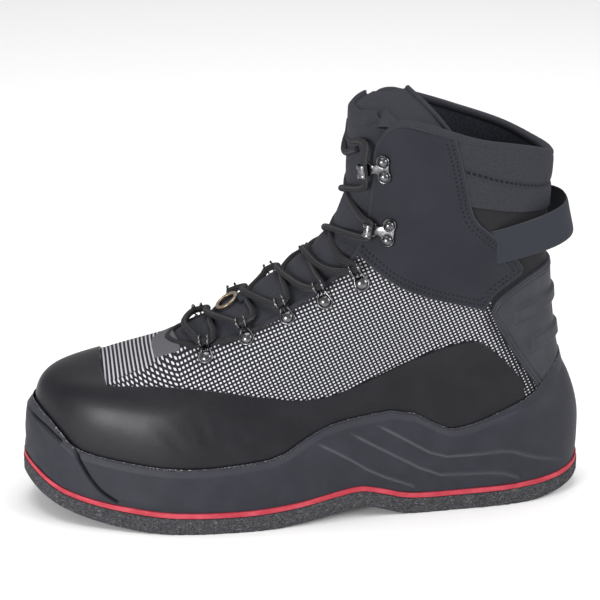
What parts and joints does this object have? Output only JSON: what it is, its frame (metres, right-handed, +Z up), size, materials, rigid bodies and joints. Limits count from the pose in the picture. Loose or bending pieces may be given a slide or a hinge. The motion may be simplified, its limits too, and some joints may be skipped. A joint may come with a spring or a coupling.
{
  "type": "wading boot",
  "caption": "Left felt-soled wading boot: cup midsole, mesh and coated upper, padded collar and tongue, D-ring and hook lacing, heel pull strap.",
  "frame": {"origin": "middle of the boot's box, on the floor", "axes": "X along the foot with the heel at +X and the toe at -X, the outer side of the foot at -Y, Z up"},
  "size_m": [0.3292, 0.1171, 0.2374],
  "materials": {
    "bronze_metal": "satin",
    "coated_leather": "glossy",
    "counter_rubber": "matte",
    "cup_rubber": "matte",
    "dark_nickel": "polished",
    "felt": "matte",
    "insole_cloth": "matte",
    "lace_cord": "matte",
    "mesh_cloth": "matte",
    "nubuck": "matte",
    "padding_cloth": "matte",
    "red_rubber": "satin",
    "webbing": "matte"
  },
  "bodies": {
    "root": {"ankle_panel_inner": "nubuck", "ankle_panel_outer": "nubuck", "collar_binding": "nubuck", "felt_outsole": "felt", "gravel_ring": "bronze_metal", "heel_counter": "counter_rubber", "insole": "insole_cloth", "lace": "lace_cord", "lace_hook_inner_1": "dark_nickel", "lace_hook_inner_2": "dark_nickel", "lace_hook_outer_1": "dark_nickel", "lace_hook_outer_2": "dark_nickel", "lace_ring_inner_1": "dark_nickel", "lace_ring_inner_2": "dark_nickel", "lace_ring_inner_3": "dark_nickel", "lace_ring_inner_4": "dark_nickel", "lace_ring_inner_5": "dark_nickel", "lace_ring_outer_1": "dark_nickel", "lace_ring_outer_2": "dark_nickel", "lace_ring_outer_3": "dark_nickel", "lace_ring_outer_4": "dark_nickel", "lace_ring_outer_5": "dark_nickel", "midsole": "cup_rubber", "pull_strap": "webbing", "ring_tab": "webbing", "sole_stripe": "red_rubber", "throat_binding": "nubuck", "toe_rand": "coated_leather", "tongue": "padding_cloth", "upper": "mesh_cloth"}
  },
  "joints": []
}
